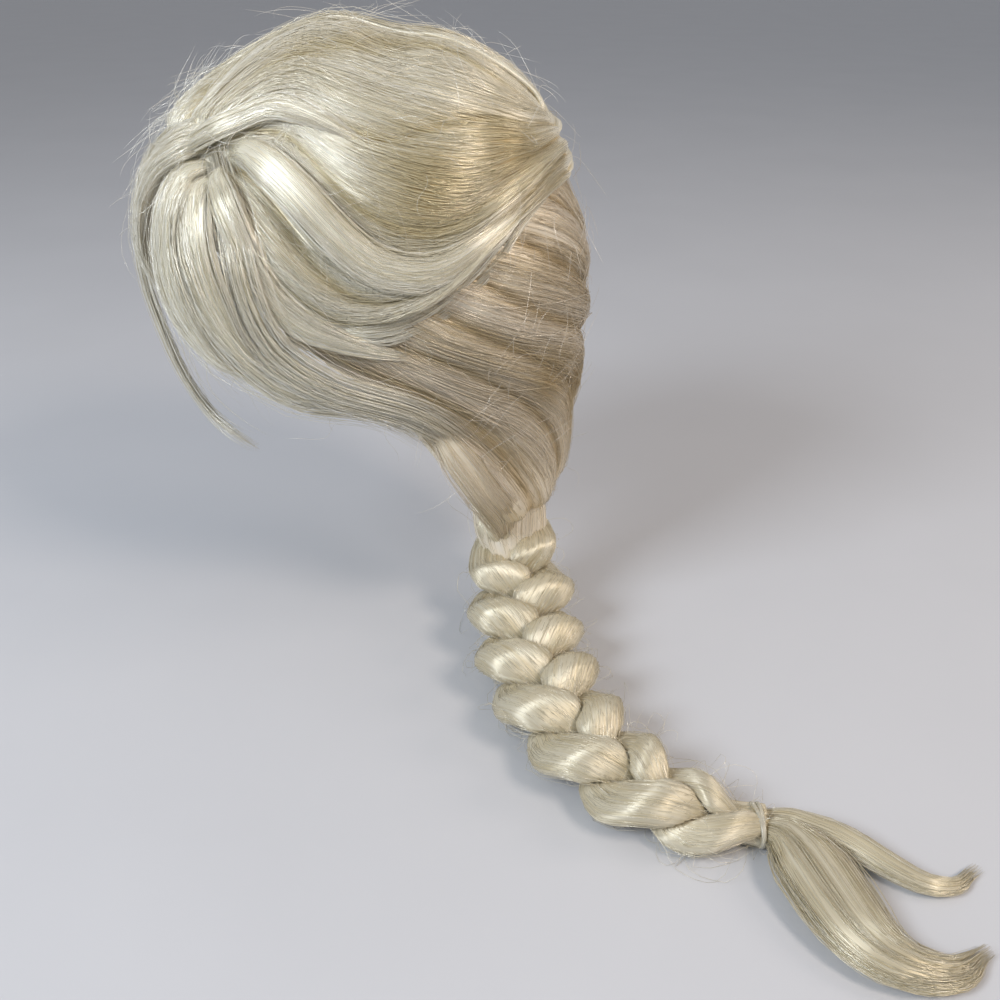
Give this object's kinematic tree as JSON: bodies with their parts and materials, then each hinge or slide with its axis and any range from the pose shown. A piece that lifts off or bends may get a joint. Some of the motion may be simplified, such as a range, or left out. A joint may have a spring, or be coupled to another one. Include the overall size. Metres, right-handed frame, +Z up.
{
  "type": "braided wig",
  "caption": "Long pale synthetic wig on a stretch cap, swept back from the face and gathered at the nape into one thick plait with a loose end",
  "frame": {"origin": "the crown seat, where the top of the wearer's head meets the inside of the cap", "axes": "+Z up, the face opening looks along -Y, the wearer's left is +X, where the plait comes down and runs out to the side and back"},
  "size_m": [0.428, 0.425, 0.3477],
  "materials": {
    "pale_synthetic_hair": "silky combed fibre, pale ash blonde",
    "shaded_synthetic_hair": "silky combed fibre, in shade",
    "stretch_net_cap": "matt stretch net",
    "clear_elastic": "smooth, near the hair's colour"
  },
  "bodies": {
    "root": {"wig_cap": "stretch_net_cap", "swept_top_hair": "pale_synthetic_hair", "falling_back_hair": "pale_synthetic_hair", "nape_gather": "shaded_synthetic_hair", "plait_strand_1": "pale_synthetic_hair", "plait_strand_2": "pale_synthetic_hair", "plait_strand_3": "pale_synthetic_hair", "plait_band": "clear_elastic", "plait_tail_main": "pale_synthetic_hair", "plait_tail_side": "pale_synthetic_hair", "cowlick_lock_left": "pale_synthetic_hair", "cowlick_lock_right": "pale_synthetic_hair", "fringe_lock_left": "pale_synthetic_hair", "fringe_lock_right": "pale_synthetic_hair", "front_wisp_left": "pale_synthetic_hair", "front_wisp_right": "pale_synthetic_hair"}
  },
  "joints": []
}
